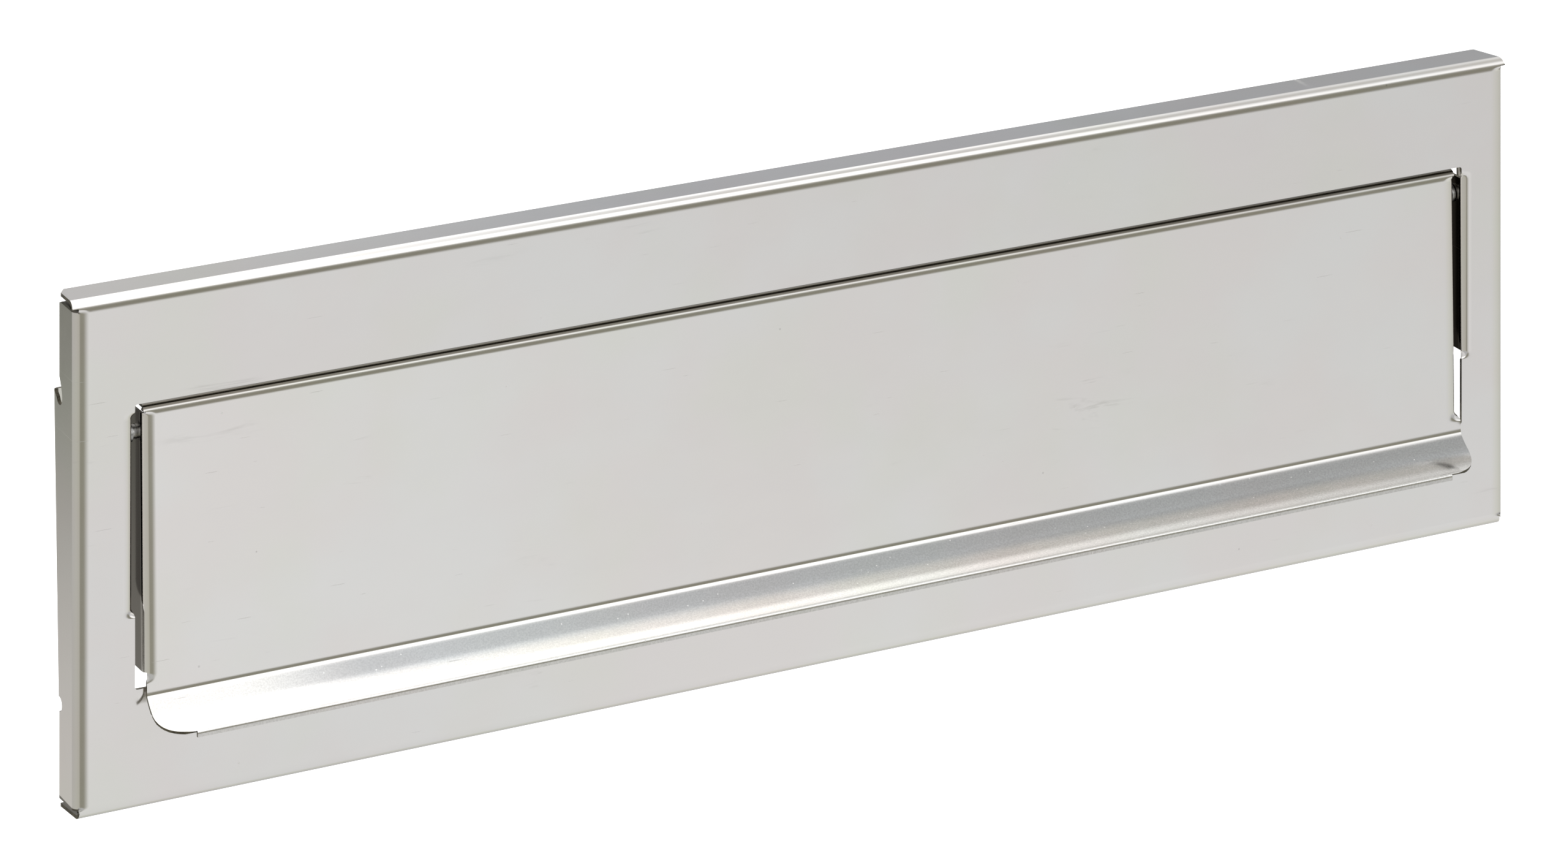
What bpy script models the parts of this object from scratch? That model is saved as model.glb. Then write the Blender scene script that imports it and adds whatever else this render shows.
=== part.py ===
"""Letter plate of folded stainless sheet, with a top-hung flap that swings outwards.

The plate and the flap are each one flat blank, folded. A blank is drawn on its front face: u runs across
the door, v runs up, and past a bend line the distance is measured along the bent surface. Lengths are in
millimetres up to the point where a mesh is made.

Frame: +X to the right as seen from the street, +Y into the door, +Z up. The origin is the centre of the
faceplate's front face.
"""

import math

import bmesh
import bpy
from mathutils import Vector
from mathutils.geometry import delaunay_2d_cdt

MM = 0.001
QUARTER = math.pi / 2

# Faceplate
PLATE_WIDTH = 360.0
PLATE_HEIGHT = 110.0
PLATE_SHEET = 0.8
RIM_DEPTH = 9.0
BEND_RADIUS = 1.7
TOP_RIM_WIDTH = 360.8
TOP_RIM_TAPER = 3.2
TOP_RIM_CHAMFER = (1.3, 1.9)
BOTTOM_RIM_WIDTH = 357.6
BOTTOM_RIM_FLARE = 0.9

# Ends of the side flanges, as (depth, height) from the rear edge inwards, and the slit that leads on from
# each to a round end inside the bend
SIDE_TOP_EDGE = ((9.0, 52.3), (6.75, 53.2), (4.2, 52.5))
SIDE_BOTTOM_EDGE = ((9.0, 53.2), (3.4, 52.5))
SLIT_WIDTH = 0.8
SLIT_ROOT_U = 179.2
SLIT_RUNOUT = 1.2

# Tab folded inwards on each side flange, between two relief notches. Its fold slopes.
TAB_TOP = 32.8
TAB_BOTTOM = -31.6
TAB_DEPTH_TOP = 12.9
TAB_DEPTH_BOTTOM = 10.2
TAB_FOLD_RADIUS = 1.0
TAB_WIDTH = 5.2
TAB_CORNER = 0.8
UPPER_NOTCH_V = 32.15
UPPER_NOTCH_RADIUS = 1.65
UPPER_NOTCH_END = 36.6
LOWER_NOTCH_V = -33.1
LOWER_NOTCH_RADIUS = 1.5

# Letter opening, which sits a little to the right of centre, and the ears at its two ends
OPENING_X = 0.9
OPENING_TOP = 31.1
OPENING_BOTTOM = -29.5
OPENING_CORNER = 0.6
EAR_SPACING = 335.0
EAR_TOP = 28.0
EAR_BOTTOM = -12.5
EAR_DEPTH = 9.6
EAR_CORNER = 3.0
EAR_RUNOUT = 1.8

# Pivot line, parallel to X
PIVOT_Y = 4.8
PIVOT_Z = 23.6
HOLE_RADIUS = 1.58
CLEARANCE = 0.3

# Flap, drawn with its face parallel to the plate and the pivot at v = 0, then tilted outwards
FLAP_WIDTH = 330.8
FLAP_SHEET = 0.6
FLAP_TILT = math.radians(1.2)
FLAP_TOP = 6.8
FLAP_TOP_RADIUS = 1.3
FLAP_TOP_DEPTH = 6.0
FLAP_SIDE_RADIUS = 1.7
FLAP_SIDE_DEPTH = 8.8
FLAP_SIDE_BOTTOM = -49.8
FLAP_SIDE_CORNER = 2.5
FLAP_SIDE_RUNOUT = 2.2
FLAP_TOP_WIDTH = 330.4
FLAP_SLIT_U = 164.7
FLAP_CORNER_RUNOUT = 1.2
LIP_LEFT = 164.9
LIP_RIGHT = 166.2
LIP_CREASE = -54.0
LIP_CORNER = 7.5
LIP_CORNER_V = -58.5
HEM_WIDTH = 314.8
CREASE_RADIUS = 2.0
CREASE_TURN = math.radians(40)
HOLLOW_RADIUS = 12.4
HOLLOW_TURN = math.radians(46)
HEM_RADIUS = 0.9
HEM_TURN = math.radians(82)
HEM_DROP = 0.7

# Pivot hardware
PIN_RADIUS = 1.5
PIN_HEAD_RADIUS = 2.9
PIN_HEAD_HEIGHT = 1.3
PIN_TAIL = 1.6
PIN_CHAMFER = 0.35
SPACER_RADIUS = 2.1
SPACER_SHEET = 0.8
SPACER_GAP = 0.2
WASHER_RADIUS = 3.5
WASHER_SHEET = 0.5
WASHER_HOLE_RADIUS = 1.56
WASHER_SLOT_RADIUS = 2.4
WASHER_TEETH = 6
WASHER_DISH = 0.35

# Smoothness
BEND_STEPS = 8
HOLLOW_STEPS = 10
CORNER_STEPS = 8
RUNOUT_STEPS = 4
ROUND_STEPS = 36

# Lengths that follow
BEND_LENGTH = BEND_RADIUS * QUARTER
PANEL_U = PLATE_WIDTH / 2 - BEND_RADIUS
PANEL_V = PLATE_HEIGHT / 2 - BEND_RADIUS
RIM_LENGTH = BEND_LENGTH + RIM_DEPTH - BEND_RADIUS
TAB_FOLD_LENGTH = TAB_FOLD_RADIUS * QUARTER
RIM_U = PANEL_U + RIM_LENGTH
RIM_V = PANEL_V + RIM_LENGTH
EAR_START = EAR_SPACING / 2 + BEND_RADIUS
EAR_LENGTH = BEND_LENGTH + EAR_DEPTH - BEND_RADIUS
OPENING_END = EAR_START - 0.75 * BEND_LENGTH
FLAP_PANEL_U = FLAP_WIDTH / 2 - FLAP_SIDE_RADIUS
FLAP_PANEL_V = FLAP_TOP - FLAP_TOP_RADIUS
FLAP_BEND_LENGTH = FLAP_SIDE_RADIUS * QUARTER
FLAP_SIDE_U = FLAP_PANEL_U + FLAP_BEND_LENGTH + FLAP_SIDE_DEPTH - FLAP_SIDE_RADIUS
FLAP_TOP_BEND = FLAP_TOP_RADIUS * QUARTER
FLAP_TOP_V = FLAP_PANEL_V + FLAP_TOP_BEND + FLAP_TOP_DEPTH - FLAP_TOP_RADIUS
FLAP_SIDE_TOP = FLAP_PANEL_V - 0.5
LIP_PATH = (
    (CREASE_RADIUS * CREASE_TURN, -CREASE_TURN),
    (HOLLOW_RADIUS * HOLLOW_TURN, -HOLLOW_TURN),
    (HEM_RADIUS * HEM_TURN, HEM_TURN),
    (HEM_DROP, 0.0),
)
LIP_STEPS = (BEND_STEPS // 2, HOLLOW_STEPS, BEND_STEPS, 1)
LIP_LENGTH = sum(length for length, turn in LIP_PATH)


# Points on flat shapes


def arc(centre, radius, start, end, steps):
    """Points along an arc, both ends included, with its angles in degrees."""
    points = []
    for step in range(steps + 1):
        angle = math.radians(start + (end - start) * step / steps)
        points.append((centre[0] + radius * math.cos(angle), centre[1] + radius * math.sin(angle)))
    return points


def circle(centre, radius, steps=ROUND_STEPS):
    return arc(centre, radius, 0, 360, steps)[:-1]


def mirrored(points):
    """The same points on the other side of u = 0, in reverse order, so that an outline runs on."""
    return [(-u, v) for u, v in reversed(points)]


def shifted(points, distance):
    return [(u + distance, v) for u, v in points]


def is_inside(point, loops):
    """Whether a point lies in the sheet that the loops bound, where inner loops are holes."""
    crossings = 0
    for loop in loops:
        for (u1, v1), (u2, v2) in zip(loop, loop[1:] + loop[:1]):
            if (v1 > point[1]) != (v2 > point[1]):
                if point[0] < u1 + (u2 - u1) * (point[1] - v1) / (v2 - v1):
                    crossings += 1
    return crossings % 2 == 1


# Folding


def walk(path, distance):
    """Where a sheet has got to after a distance along a path of (length, turn).

    Returns how far it went in its first direction, and how far it turned off backward, into the door.
    A negative turn folds the sheet forward.
    """
    along = backward = heading = 0.0
    for length, turn in path:
        step = min(distance, length)
        if turn:
            radius = length / turn
            end = heading + step / radius
            along += radius * (math.sin(end) - math.sin(heading))
            backward += radius * (math.cos(heading) - math.cos(end))
            heading = end
        else:
            along += step * math.cos(heading)
            backward += step * math.sin(heading)
        distance -= step
        if distance <= 0:
            break
    return along, backward


def spaced(start, length, steps):
    """Distances of the fold lines that make one bend round."""
    return [start + length * step / steps for step in range(steps + 1)]


def fold_share(beyond, runout):
    """How much of a fold is left a distance beyond its end, where it runs out into flat sheet."""
    part = min(max(beyond / runout, 0.0), 1.0)
    return 0.5 + 0.5 * math.cos(math.pi * part)


def sheet_mesh(name, loops, lines, fold):
    """The front surface of a sheet cut to its loops, creased along its lines, and folded."""
    points = []
    edges = []
    for loop in loops:
        first = len(points)
        points += loop
        edges += [(first + i, first + (i + 1) % len(loop)) for i in range(len(loop))]
    for line in lines:
        edges.append((len(points), len(points) + 1))
        points += line
    cut = delaunay_2d_cdt([Vector(point) for point in points], edges, [], 0, 1e-5)
    flat, faces = cut[0], cut[2]
    mesh = bmesh.new()
    vertices = [mesh.verts.new(Vector(fold(u, v)) * MM) for u, v in flat]
    for face in faces:
        centre = sum((flat[i] for i in face), Vector((0, 0))) / len(face)
        if is_inside(centre, loops):
            mesh.faces.new([vertices[i] for i in face])
    for vertex in [vertex for vertex in mesh.verts if not vertex.link_faces]:
        mesh.verts.remove(vertex)
    data = bpy.data.meshes.new(name)
    mesh.to_mesh(data)
    mesh.free()
    return data


def add_object(name, data, finish, smooth_below=40):
    data.shade_smooth()
    data.set_sharp_from_angle(angle=math.radians(smooth_below))
    data.materials.append(finish)
    item = bpy.data.objects.new(name, data)
    bpy.context.collection.objects.link(item)
    return item


def thicken(item, thickness):
    """Gives a folded surface its thickness, on its back side."""
    solidify = item.modifiers.new("sheet_thickness", "SOLIDIFY")
    solidify.thickness = thickness * MM
    solidify.offset = -1
    solidify.use_even_offset = True
    solidify.use_quality_normals = True


# Faceplate


def tab_depth(v):
    """How far behind the front face the tab's outer face lies, at a height."""
    return TAB_DEPTH_BOTTOM + (TAB_DEPTH_TOP - TAB_DEPTH_BOTTOM) * (v - TAB_BOTTOM) / (TAB_TOP - TAB_BOTTOM)


def rim_u(depth):
    """Where a depth behind the front face lies on a side flange in the blank."""
    return PANEL_U + BEND_LENGTH + depth - BEND_RADIUS


def tab_fold_u(v):
    return rim_u(tab_depth(v) - TAB_FOLD_RADIUS)


def tab_end_u(v):
    return tab_fold_u(v) + TAB_FOLD_LENGTH + TAB_WIDTH - TAB_FOLD_RADIUS


def side_rim():
    """The right side flange's rear edge with its notches and tab, from the bottom up."""
    points = arc((RIM_U, LOWER_NOTCH_V), LOWER_NOTCH_RADIUS, 270, 90, 2 * CORNER_STEPS)
    points.append((tab_end_u(TAB_BOTTOM) - TAB_CORNER, TAB_BOTTOM))
    points.append((tab_end_u(TAB_BOTTOM + TAB_CORNER), TAB_BOTTOM + TAB_CORNER))
    points.append((tab_end_u(TAB_TOP - TAB_CORNER), TAB_TOP - TAB_CORNER))
    points.append((tab_end_u(TAB_TOP) - TAB_CORNER, TAB_TOP))
    points.append((RIM_U + 2 * UPPER_NOTCH_RADIUS, TAB_TOP))
    points += arc((RIM_U, UPPER_NOTCH_V), UPPER_NOTCH_RADIUS, 340, 180, 2 * CORNER_STEPS)
    for step in range(1, CORNER_STEPS + 1):
        part = step / CORNER_STEPS
        height = UPPER_NOTCH_V + (UPPER_NOTCH_END - UPPER_NOTCH_V) * part
        points.append((RIM_U - UPPER_NOTCH_RADIUS * math.cos(part * QUARTER), height))
    return points


def corner_slit(rim_edge):
    """The end of the right side flange and the slit beside it, from the flange's rear edge inwards."""
    points = [(rim_u(depth), height) for depth, height in rim_edge]
    return points + arc((SLIT_ROOT_U, PANEL_V - SLIT_WIDTH / 2), SLIT_WIDTH / 2, -90, -270, CORNER_STEPS)


def plate_half(top_corner):
    """Half of the plate's outline, at the right, from the bottom flange's edge to the top flange's."""
    bottom = BOTTOM_RIM_WIDTH / 2
    points = [(bottom + BOTTOM_RIM_FLARE, -RIM_V), (bottom, -PANEL_V)]
    points += [(u, -v) for u, v in reversed(corner_slit(SIDE_BOTTOM_EDGE))]
    points += side_rim()
    points += corner_slit(SIDE_TOP_EDGE)
    return points + [(TOP_RIM_WIDTH / 2, PANEL_V)] + top_corner


def plate_outline():
    half_width = TOP_RIM_WIDTH / 2
    across, along = TOP_RIM_CHAMFER
    right = plate_half([(half_width - TOP_RIM_TAPER, RIM_V)])
    left = plate_half([(half_width, RIM_V - along), (half_width - across, RIM_V)])
    return right + mirrored(left)


def opening_half():
    """The right end of the letter opening about u = 0, from the bottom up, with its ear laid flat."""
    root = OPENING_END
    tip = EAR_START - EAR_LENGTH
    inset = tip + EAR_CORNER
    points = arc((root - OPENING_CORNER, OPENING_BOTTOM + OPENING_CORNER), OPENING_CORNER, -90, 0, 4)
    points.append((root, EAR_BOTTOM))
    points += arc((inset, EAR_BOTTOM + EAR_CORNER), EAR_CORNER, 270, 180, CORNER_STEPS)
    points += arc((inset, EAR_TOP - EAR_CORNER), EAR_CORNER, 180, 90, CORNER_STEPS)
    points.append((root, EAR_TOP))
    points += arc((root - OPENING_CORNER, OPENING_TOP - OPENING_CORNER), OPENING_CORNER, 0, 90, 4)
    return points


def pivot_hole_in_ear():
    """The right ear's pivot hole about u = 0, in the flat blank."""
    return circle((EAR_START - BEND_LENGTH - (PIVOT_Y - BEND_RADIUS), PIVOT_Z), HOLE_RADIUS)


def plate_loops():
    opening = opening_half()
    hole = pivot_hole_in_ear()
    loops = [plate_outline(), shifted(opening + mirrored(opening), OPENING_X)]
    return loops + [shifted(hole, OPENING_X), shifted(mirrored(hole), OPENING_X)]


def plate_lines():
    """The plate's fold lines: four rims, two tabs, two ears and the ends of the ears' folds."""
    lines = []
    reach = TOP_RIM_WIDTH / 2 + 0.5
    height = PANEL_V - 0.02
    for distance in spaced(0, BEND_LENGTH, BEND_STEPS):
        for side in (-1, 1):
            lines.append([(-reach, side * (PANEL_V + distance)), (reach, side * (PANEL_V + distance))])
            lines.append([(side * (PANEL_U + distance), -height), (side * (PANEL_U + distance), height)])
            ear = OPENING_X + side * (EAR_START - distance)
            lines.append([(ear, EAR_BOTTOM - EAR_RUNOUT), (ear, EAR_TOP + EAR_RUNOUT)])
    for distance in spaced(0, TAB_FOLD_LENGTH, BEND_STEPS):
        for side in (-1, 1):
            ends = (TAB_BOTTOM - 0.2, TAB_TOP + 0.2)
            lines.append([(side * (tab_fold_u(v) + distance), v) for v in ends])
    for distance in spaced(0, EAR_RUNOUT, RUNOUT_STEPS):
        for v in (EAR_BOTTOM - distance, EAR_TOP + distance):
            for side in (-1, 1):
                ends = (EAR_START, OPENING_END - 0.1)
                lines.append([(OPENING_X + side * end, v) for end in ends])
    for distance in spaced(0, SLIT_RUNOUT, RUNOUT_STEPS)[1:]:
        for side in (-1, 1):
            for v in (PANEL_V - distance, distance - PANEL_V):
                lines.append([(side * PANEL_U, v), (side * SLIT_ROOT_U, v)])
    return lines


def fold_plate(u, v):
    if abs(v) > PANEL_V - 0.01:
        along, backward = walk([(BEND_LENGTH, QUARTER), (RIM_DEPTH, 0.0)], max(abs(v) - PANEL_V, 0.0))
        return u, backward, math.copysign(PANEL_V + along, v)
    if abs(u) > PANEL_U:
        share = 1.0
        if abs(u) < SLIT_ROOT_U:
            share = fold_share(abs(v) - (PANEL_V - SLIT_RUNOUT), SLIT_RUNOUT)
        path = [(BEND_LENGTH, QUARTER * share), (RIM_DEPTH, 0.0)]
        if TAB_BOTTOM - 0.8 < v < TAB_TOP + 0.6:
            flat = tab_depth(v) - BEND_RADIUS - TAB_FOLD_RADIUS
            path = [(BEND_LENGTH, QUARTER), (flat, 0.0), (TAB_FOLD_LENGTH, QUARTER), (TAB_WIDTH, 0.0)]
        along, backward = walk(path, abs(u) - PANEL_U)
        return math.copysign(PANEL_U + along, u), backward, v
    inward = EAR_START - abs(u - OPENING_X)
    share = fold_share(max(EAR_BOTTOM - v, v - EAR_TOP), EAR_RUNOUT)
    if inward > 0 and share > 0:
        along, backward = walk([(BEND_LENGTH, QUARTER * share), (EAR_DEPTH, 0.0)], inward)
        return OPENING_X + math.copysign(EAR_START - along, u - OPENING_X), backward, v
    return u, 0.0, v


def make_faceplate(finish):
    item = add_object("faceplate", sheet_mesh("faceplate", plate_loops(), plate_lines(), fold_plate), finish)
    thicken(item, PLATE_SHEET)
    return item


# Flap


def flap_half(lip_u):
    """Half of the flap's outline, at the right, from the lip's free edge to the top return's."""
    lip_end = LIP_CREASE - LIP_LENGTH
    points = [(HEM_WIDTH / 2, lip_end), (HEM_WIDTH / 2, LIP_CORNER_V - LIP_CORNER)]
    points += arc((lip_u - LIP_CORNER, LIP_CORNER_V), LIP_CORNER, -90, 0, 2 * CORNER_STEPS)
    points.append((lip_u, FLAP_SIDE_BOTTOM))
    corner = (FLAP_SIDE_U - FLAP_SIDE_CORNER, FLAP_SIDE_BOTTOM + FLAP_SIDE_CORNER)
    points += arc(corner, FLAP_SIDE_CORNER, -90, 0, CORNER_STEPS)
    corner = (FLAP_SIDE_U - FLAP_SIDE_CORNER, FLAP_SIDE_TOP - FLAP_SIDE_CORNER)
    points += arc(corner, FLAP_SIDE_CORNER, 0, 90, CORNER_STEPS)
    half_top = FLAP_TOP_WIDTH / 2
    points += [(half_top + 0.2, FLAP_SIDE_TOP), (FLAP_SLIT_U, FLAP_SIDE_TOP + 0.1)]
    points += [(FLAP_SLIT_U, FLAP_PANEL_V - 0.1), (half_top, FLAP_PANEL_V), (half_top, FLAP_TOP_V)]
    return points


def flap_loops():
    flange_depth = PIVOT_Y - FLAP_SIDE_RADIUS
    hole = circle((FLAP_PANEL_U + FLAP_BEND_LENGTH + flange_depth, 0.0), HOLE_RADIUS)
    return [flap_half(LIP_RIGHT) + mirrored(flap_half(LIP_LEFT)), hole, mirrored(hole)]


def flap_lines():
    """The flap's fold lines: top return, two side flanges, and the lip with its crease, hollow and hem."""
    lines = []
    for distance in spaced(0, FLAP_TOP_BEND, BEND_STEPS):
        v = FLAP_PANEL_V + distance
        lines.append([(-FLAP_TOP_WIDTH / 2 - 0.1, v), (FLAP_TOP_WIDTH / 2 + 0.1, v)])
    for distance in spaced(0, FLAP_BEND_LENGTH, BEND_STEPS):
        for side in (-1, 1):
            u = side * (FLAP_PANEL_U + distance)
            lines.append([(u, FLAP_SIDE_BOTTOM - FLAP_SIDE_RUNOUT), (u, FLAP_PANEL_V - 0.02)])
    for distance in spaced(0, FLAP_SIDE_RUNOUT, RUNOUT_STEPS):
        for side in (-1, 1):
            v = FLAP_SIDE_BOTTOM - distance
            lines.append([(side * FLAP_PANEL_U, v), (side * (LIP_RIGHT + 0.1), v)])
    for distance in spaced(0, FLAP_CORNER_RUNOUT, RUNOUT_STEPS)[1:]:
        for side in (-1, 1):
            v = FLAP_PANEL_V - distance
            lines.append([(side * FLAP_PANEL_U, v), (side * (FLAP_SLIT_U + 0.1), v)])
    start = 0.0
    for (length, turn), steps in zip(LIP_PATH, LIP_STEPS):
        for distance in spaced(start, length, steps)[:-1]:
            v = LIP_CREASE - distance
            lines.append([(-LIP_LEFT - 1, v), (LIP_RIGHT + 1, v)])
        start += length
    return lines


def fold_flap(u, v):
    front = -PIVOT_Y
    if v > FLAP_PANEL_V - 0.01:
        path = [(FLAP_TOP_BEND, QUARTER), (FLAP_TOP_DEPTH, 0.0)]
        along, backward = walk(path, max(v - FLAP_PANEL_V, 0.0))
        return u, front + backward, FLAP_PANEL_V + along
    if v < LIP_CREASE:
        along, backward = walk(LIP_PATH, LIP_CREASE - v)
        return u, front + backward, LIP_CREASE - along
    share = fold_share(FLAP_SIDE_BOTTOM - v, FLAP_SIDE_RUNOUT)
    if abs(u) <= FLAP_SLIT_U and v > 0:
        share = fold_share(v - (FLAP_PANEL_V - FLAP_CORNER_RUNOUT), FLAP_CORNER_RUNOUT)
    if abs(u) > FLAP_PANEL_U and share > 0:
        path = [(FLAP_BEND_LENGTH, QUARTER * share), (FLAP_SIDE_DEPTH, 0.0)]
        along, backward = walk(path, abs(u) - FLAP_PANEL_U)
        return math.copysign(FLAP_PANEL_U + along, u), front + backward, v
    return u, front, v


def make_flap(finish):
    """The flap, with its origin on the pivot line."""
    item = add_object("flap", sheet_mesh("flap", flap_loops(), flap_lines(), fold_flap), finish)
    thicken(item, FLAP_SHEET)
    item.location = Vector((OPENING_X, PIVOT_Y, PIVOT_Z)) * MM
    item.rotation_euler = (-FLAP_TILT, 0, 0)
    return item


# Pivot hardware, drawn at the right end with x measured from the middle of the opening


def turned_mesh(name, profile, closed, side):
    """A round piece about the pivot line from a profile of (x, radius). side -1 puts it at the left."""
    mesh = bmesh.new()
    rings = []
    for x, radius in profile:
        if radius == 0:
            rings.append([mesh.verts.new((side * x * MM, 0, 0))])
            continue
        ring = circle((0, 0), radius * MM)
        rings.append([mesh.verts.new((side * x * MM, y, z)) for y, z in ring])
    pairs = list(zip(rings, rings[1:]))
    if closed:
        pairs.append((rings[-1], rings[0]))
    for first, second in pairs:
        for i in range(ROUND_STEPS):
            j = (i + 1) % ROUND_STEPS
            if len(first) == 1:
                mesh.faces.new((first[0], second[i], second[j]))
            elif len(second) == 1:
                mesh.faces.new((first[i], second[0], first[j]))
            else:
                mesh.faces.new((first[i], second[i], second[j], first[j]))
    bmesh.ops.recalc_face_normals(mesh, faces=mesh.faces)
    data = bpy.data.meshes.new(name)
    mesh.to_mesh(data)
    mesh.free()
    return data


def on_pivot(item):
    item.location = Vector((OPENING_X, PIVOT_Y, PIVOT_Z)) * MM
    return item


def make_pin(name, side, finish):
    """A rivet-like pin: a domed head outside the ear, a shank through ear and flap, a chamfered tail."""
    seat = EAR_SPACING / 2 + PLATE_SHEET + CLEARANCE
    crown = seat + PIN_HEAD_HEIGHT
    tail = FLAP_WIDTH / 2 - FLAP_SHEET - CLEARANCE - WASHER_SHEET - PIN_TAIL
    profile = [(crown, 0)]
    for step in range(1, 7):
        angle = step / 6 * math.radians(70)
        rise = (PIN_HEAD_HEIGHT - 0.4) * (1 - math.cos(angle)) / (1 - math.cos(math.radians(70)))
        profile.append((crown - rise, PIN_HEAD_RADIUS * math.sin(angle) / math.sin(math.radians(70))))
    profile += [(seat, PIN_HEAD_RADIUS), (seat, PIN_RADIUS)]
    profile += [(tail + PIN_CHAMFER, PIN_RADIUS), (tail, PIN_RADIUS - PIN_CHAMFER), (tail, 0)]
    return on_pivot(add_object(name, turned_mesh(name, profile, False, side), finish))


def make_spacer(name, side, finish):
    """The ring against the ear that keeps the flap's flange clear of it."""
    outer = EAR_SPACING / 2 - SPACER_GAP
    inner = outer - SPACER_SHEET
    profile = [(inner, HOLE_RADIUS), (inner, SPACER_RADIUS), (outer, SPACER_RADIUS), (outer, HOLE_RADIUS)]
    return on_pivot(add_object(name, turned_mesh(name, profile, True, side), finish))


def washer_bore():
    """Teeth that reach in to the pin, with slots between them."""
    points = []
    pitch = 360 / WASHER_TEETH
    for tooth in range(WASHER_TEETH):
        middle = tooth * pitch
        points += arc((0, 0), WASHER_HOLE_RADIUS, middle - 0.3 * pitch, middle + 0.3 * pitch, 4)
        points += arc((0, 0), WASHER_SLOT_RADIUS, middle + 0.34 * pitch, middle + 0.66 * pitch, 3)
    return points


def make_washer(name, side, finish):
    """The push-on washer that keeps the pin in, dished away from the flange."""
    face = FLAP_WIDTH / 2 - FLAP_SHEET - CLEARANCE

    def dish(u, v):
        part = (WASHER_RADIUS - math.hypot(u, v)) / (WASHER_RADIUS - WASHER_HOLE_RADIUS)
        return side * (face - WASHER_DISH * part), side * u, v

    loops = [circle((0, 0), WASHER_RADIUS), washer_bore()]
    item = add_object(name, sheet_mesh(name, loops, [], dish), finish)
    thicken(item, WASHER_SHEET)
    return on_pivot(item)


# Finishes and assembly


def make_finish(name, colour, roughness):
    material = bpy.data.materials.new(name)
    material.use_nodes = True
    shader = material.node_tree.nodes["Principled BSDF"]
    shader.inputs["Base Color"].default_value = (*colour, 1)
    shader.inputs["Metallic"].default_value = 1.0
    shader.inputs["Roughness"].default_value = roughness
    material.diffuse_color = (*colour, 1)
    material.metallic = 1.0
    material.roughness = roughness
    return material


def clear_scene():
    for item in list(bpy.data.objects):
        bpy.data.objects.remove(item, do_unlink=True)


def build():
    clear_scene()
    make_faceplate(make_finish("polished_stainless_plate", (0.68, 0.68, 0.67), 0.22))
    make_flap(make_finish("polished_stainless_flap", (0.70, 0.70, 0.69), 0.20))
    pin_finish = make_finish("pin_steel", (0.55, 0.55, 0.54), 0.35)
    spacer_finish = make_finish("spacer_steel", (0.48, 0.48, 0.47), 0.40)
    washer_finish = make_finish("washer_spring_steel", (0.30, 0.30, 0.31), 0.42)
    for label, side in (("left", -1), ("right", 1)):
        make_pin("pivot_pin_" + label, side, pin_finish)
        make_spacer("spacer_washer_" + label, side, spacer_finish)
        make_washer("retaining_washer_" + label, side, washer_finish)


build()
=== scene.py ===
"""Letter plate of polished stainless sheet, with its finishes, in a plain white studio.

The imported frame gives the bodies. Every piece is drawn again here and stands for its CAD node. Each sheet is
folded from the same blank as its node, with finer bends and faces that roll off softly before them. Lengths
are in millimetres up to the point where a mesh is made.
"""

import math

import bmesh
import bpy
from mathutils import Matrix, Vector
from mathutils.geometry import delaunay_2d_cdt


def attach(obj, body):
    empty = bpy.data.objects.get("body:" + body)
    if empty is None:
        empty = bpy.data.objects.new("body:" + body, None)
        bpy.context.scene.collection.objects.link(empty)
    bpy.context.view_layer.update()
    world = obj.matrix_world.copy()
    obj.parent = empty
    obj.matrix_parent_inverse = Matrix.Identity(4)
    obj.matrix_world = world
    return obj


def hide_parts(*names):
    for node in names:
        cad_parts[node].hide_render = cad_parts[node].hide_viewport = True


MM = 0.001
QUARTER = math.pi / 2

# Faceplate
PLATE_WIDTH = 360.0
PLATE_HEIGHT = 110.0
PLATE_SHEET = 0.8
RIM_DEPTH = 9.0
BEND_RADIUS = 1.7
TOP_RIM_WIDTH = 360.8
TOP_RIM_TAPER = 3.2
TOP_RIM_CHAMFER = (1.3, 1.9)
BOTTOM_RIM_WIDTH = 357.6
BOTTOM_RIM_FLARE = 0.9

# Ends of the side flanges, as (depth, height) from the rear edge inwards, and the slit that leads on from
# each to a round end inside the bend
SIDE_TOP_EDGE = ((9.0, 52.3), (6.75, 53.2), (3.0, 53.25), (2.6, 52.95))
SIDE_BOTTOM_EDGE = ((9.0, 53.2), (3.4, 52.95))
SLIT_WIDTH = 0.35
SLIT_ROOT_U = 179.2
SLIT_RUNOUT = 1.2

# Tab folded inwards on each side flange, between two relief notches. Its fold slopes.
TAB_TOP = 32.8
TAB_BOTTOM = -31.6
TAB_DEPTH_TOP = 12.9
TAB_DEPTH_BOTTOM = 10.2
TAB_FOLD_RADIUS = 1.0
TAB_WIDTH = 5.2
TAB_CORNER = 0.8
UPPER_NOTCH_V = 32.15
UPPER_NOTCH_RADIUS = 1.65
UPPER_NOTCH_END = 36.6
LOWER_NOTCH_V = -33.1
LOWER_NOTCH_RADIUS = 1.5

# Letter opening, which sits a little to the right of centre, and the ears at its two ends
OPENING_X = 0.9
OPENING_TOP = 31.1
OPENING_BOTTOM = -29.5
OPENING_CORNER = 0.6
EAR_SPACING = 335.0
EAR_TOP = 28.0
EAR_BOTTOM = -12.5
EAR_DEPTH = 9.6
EAR_CORNER = 3.0
EAR_RUNOUT = 1.8

# Pivot line, parallel to X
PIVOT_Y = 4.8
PIVOT_Z = 23.6
HOLE_RADIUS = 1.58
CLEARANCE = 0.3

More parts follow.
